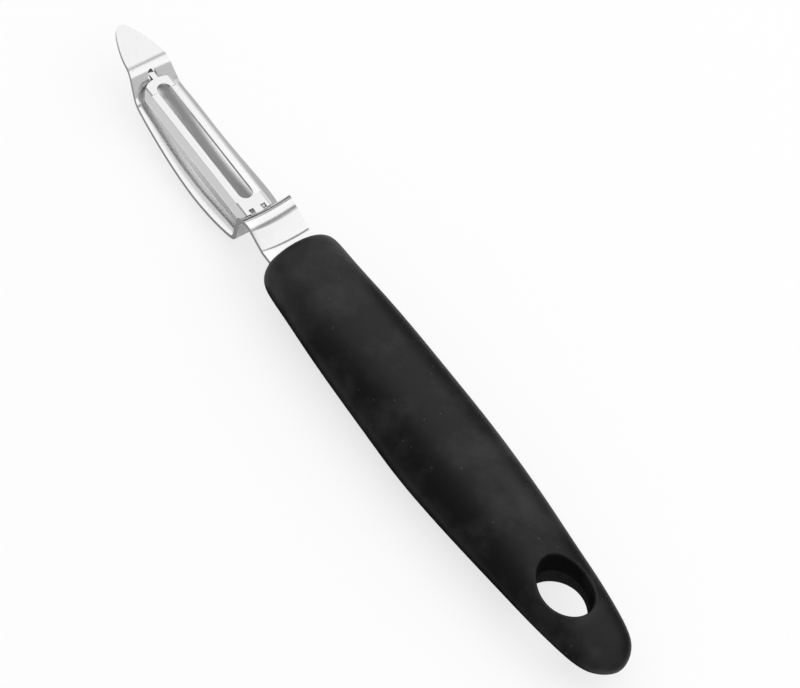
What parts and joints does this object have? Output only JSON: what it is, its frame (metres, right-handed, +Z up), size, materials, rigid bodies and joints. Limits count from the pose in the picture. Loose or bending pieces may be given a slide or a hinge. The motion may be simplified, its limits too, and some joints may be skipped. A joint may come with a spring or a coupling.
{
  "type": "vegetable_peeler",
  "caption": "Straight swivel vegetable peeler with a slotted steel blade rocking in a bent strip frame and a soft black grip with an oval hanging hole",
  "frame": {"origin": "Midway along the peeler and across it, on the plane that the grip's belly rests on.", "axes": "+X runs from the eye-remover tip to the hanging hole, +Y across the blade, +Z up through the crown of the blade."},
  "size_m": [0.1982, 0.0258, 0.0186],
  "materials": {
    "steel_frame": "polished stamped stainless strip",
    "steel_blade": "pressed stainless sheet with ground cutting edges",
    "core_plastic": "moulded polypropylene, hidden",
    "grip_rubber": "matt soft-touch overmould"
  },
  "bodies": {
    "handle": {"blade_frame": "steel_frame", "handle_core": "core_plastic", "handle_grip": "grip_rubber"},
    "blade": {"peeling_blade": "steel_blade"}
  },
  "joints": [
    {"name": "blade_swivel", "type": "hinge", "parent": "handle", "child": "blade", "pos_m": [-0.06205, 0, 0.0105], "axis": [1, 0, 0], "range_deg": [-15, 15]}
  ]
}
